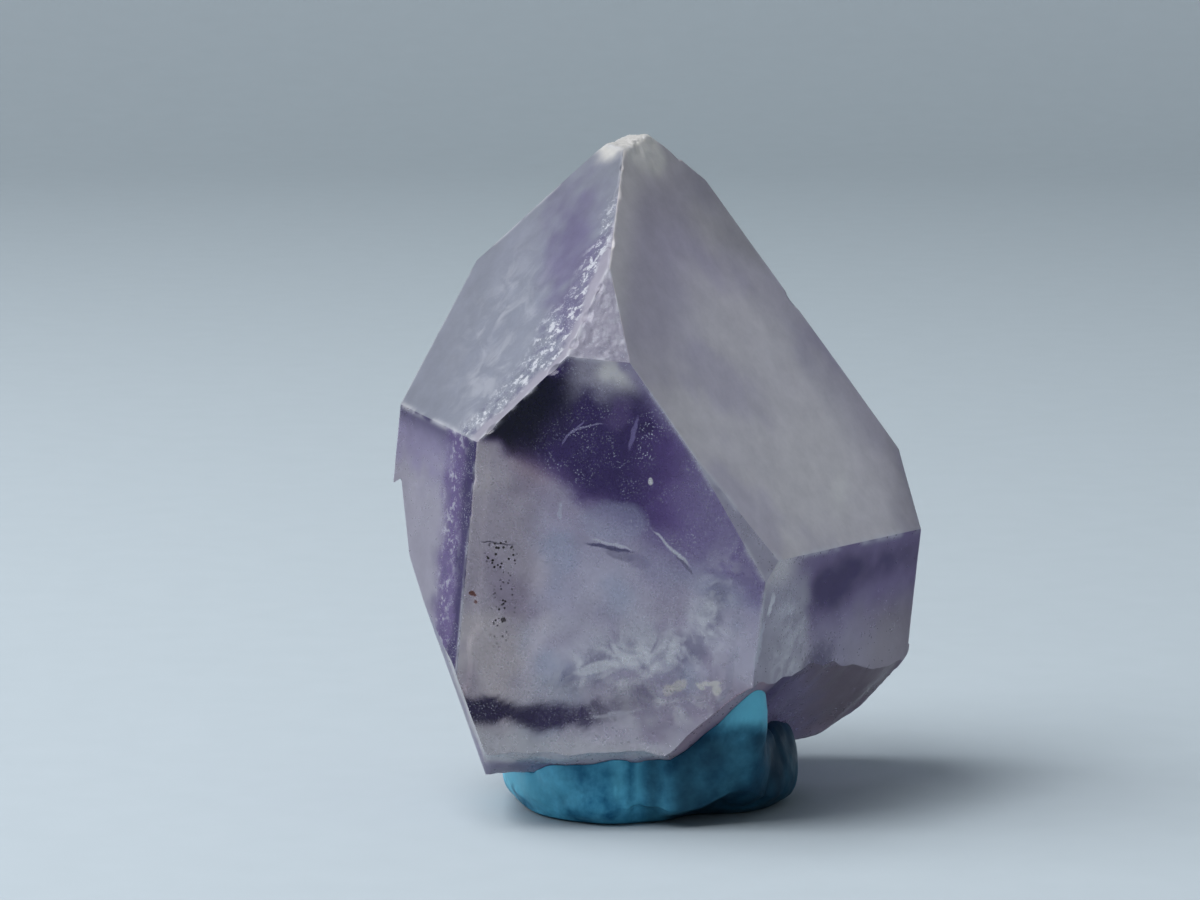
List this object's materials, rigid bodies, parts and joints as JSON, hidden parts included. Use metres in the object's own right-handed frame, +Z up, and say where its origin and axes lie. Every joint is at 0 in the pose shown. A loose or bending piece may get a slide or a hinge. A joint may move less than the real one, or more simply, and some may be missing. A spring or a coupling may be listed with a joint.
{
  "type": "amethyst specimen",
  "caption": "Single amethyst crystal point with a worn tip and a broken base, standing in a lump of blue mounting putty.",
  "frame": {"origin": "on the table, under the middle of the object's box", "axes": "+Z up, the longest extent; -Y towards the viewer, faced by the crystal's front prism face; +X to the viewer's right"},
  "size_m": [0.0266, 0.021, 0.0332],
  "materials": {
    "amethyst": "frosted, see-through natural faces with violet zones, glassy on the fracture",
    "putty": "kneaded, slightly greasy blue putty"
  },
  "bodies": {
    "root": {"amethyst_crystal": "amethyst", "mounting_putty": "putty"}
  },
  "joints": []
}
